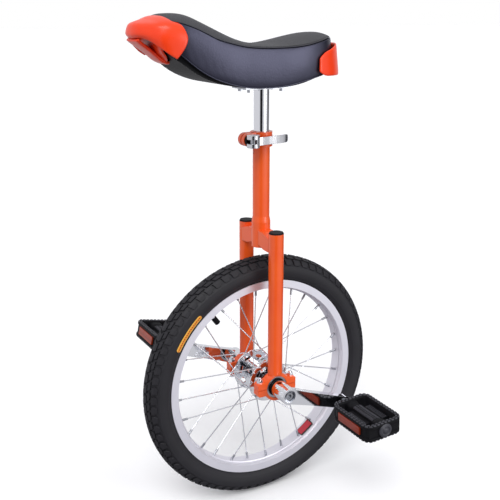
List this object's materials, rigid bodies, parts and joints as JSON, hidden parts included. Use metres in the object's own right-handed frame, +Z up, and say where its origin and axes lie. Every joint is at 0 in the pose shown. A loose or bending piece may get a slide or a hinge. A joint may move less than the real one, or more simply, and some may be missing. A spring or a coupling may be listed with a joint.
{
  "type": "unicycle",
  "caption": "Small-wheeled unicycle with a straight two-leg fork, spoked wheel, direct cranks, block pedals and a curved saddle on a quick-release post.",
  "frame": {"origin": "point on the ground under the middle of the wheel", "axes": "+X the rider's forward, +Y the rider's left along the axle, +Z up"},
  "size_m": [0.4534, 0.43, 0.8519],
  "materials": {
    "tyre_rubber": "moulded rubber with a blocked tread",
    "tube_rubber": "smooth butyl",
    "rim_alloy": "satin anodised",
    "chrome_plate": "bright plated",
    "zinc_steel": "bright zinc",
    "frame_paint": "gloss orange enamel",
    "black_plastic": "moulded, fine grained",
    "reflector_plastic": "amber prismatic",
    "bumper_plastic": "gloss orange-red moulding",
    "seat_foam": "moulded foam",
    "seat_vinyl": "black vinyl, smooth sides and a grained top",
    "lever_steel": "polished"
  },
  "bodies": {
    "frame": {"left_bearing_outer": "zinc_steel", "right_bearing_outer": "zinc_steel", "bearing_seals": "black_plastic", "left_leg": "frame_paint", "right_leg": "frame_paint", "leg_plugs": "black_plastic", "seat_tube": "frame_paint", "fork_crown": "frame_paint", "left_bearing_holder": "frame_paint", "right_bearing_holder": "frame_paint", "left_bearing_cap": "frame_paint", "right_bearing_cap": "frame_paint", "holder_bolts": "chrome_plate", "holder_nuts": "chrome_plate", "clamp_collar": "frame_paint", "clamp_skewer": "zinc_steel", "clamp_nut": "chrome_plate", "cam_washer": "black_plastic", "cam_pin": "zinc_steel"},
    "wheel": {"tyre": "tyre_rubber", "inner_tube": "tube_rubber", "rim_tape": "tube_rubber", "rim": "rim_alloy", "spokes": "chrome_plate", "spoke_nipples": "zinc_steel", "valve_stem": "chrome_plate", "valve_cap": "black_plastic", "hub_shell": "chrome_plate", "axle": "zinc_steel", "left_bearing_inner": "zinc_steel", "right_bearing_inner": "zinc_steel", "bearing_balls": "chrome_plate", "axle_spacers": "chrome_plate", "left_crank": "chrome_plate", "right_crank": "chrome_plate", "crank_bolts": "zinc_steel", "left_pedal_spindle": "zinc_steel", "right_pedal_spindle": "zinc_steel", "pedal_spindle_nuts": "zinc_steel"},
    "left_pedal": {"left_pedal_body": "black_plastic", "left_pedal_reflectors": "reflector_plastic", "left_pedal_cap": "black_plastic"},
    "right_pedal": {"right_pedal_body": "black_plastic", "right_pedal_reflectors": "reflector_plastic", "right_pedal_cap": "black_plastic"},
    "seat": {"seat_post": "chrome_plate", "seat_post_plate": "zinc_steel", "saddle_base": "black_plastic", "saddle_foam": "seat_foam", "saddle_cover": "seat_vinyl", "front_handle": "bumper_plastic", "rear_bumper": "bumper_plastic", "saddle_bolts": "zinc_steel", "saddle_nuts": "zinc_steel", "trim_screws": "zinc_steel"},
    "lever": {"cam_lever": "lever_steel"}
  },
  "joints": [
    {"name": "wheel_spin", "type": "hinge", "parent": "frame", "child": "wheel", "pos_m": [0, 0, 0.225], "axis": [0, 1, 0], "continuous": true},
    {"name": "left_pedal_spin", "type": "hinge", "parent": "wheel", "child": "left_pedal", "pos_m": [-0.11783, 0.16, 0.18327], "axis": [0, 1, 0], "continuous": true},
    {"name": "right_pedal_spin", "type": "hinge", "parent": "wheel", "child": "right_pedal", "pos_m": [0.11783, -0.16, 0.26673], "axis": [0, 1, 0], "continuous": true},
    {"name": "seat_height", "type": "slide", "parent": "frame", "child": "seat", "axis": [0, 0, 1], "range_m": [-0.035, 0.08]},
    {"name": "lever_open", "type": "hinge", "parent": "frame", "child": "lever", "pos_m": [0.0278, 0.022, 0.652], "axis": [0, 0, -1], "range_deg": [0, 160]}
  ]
}
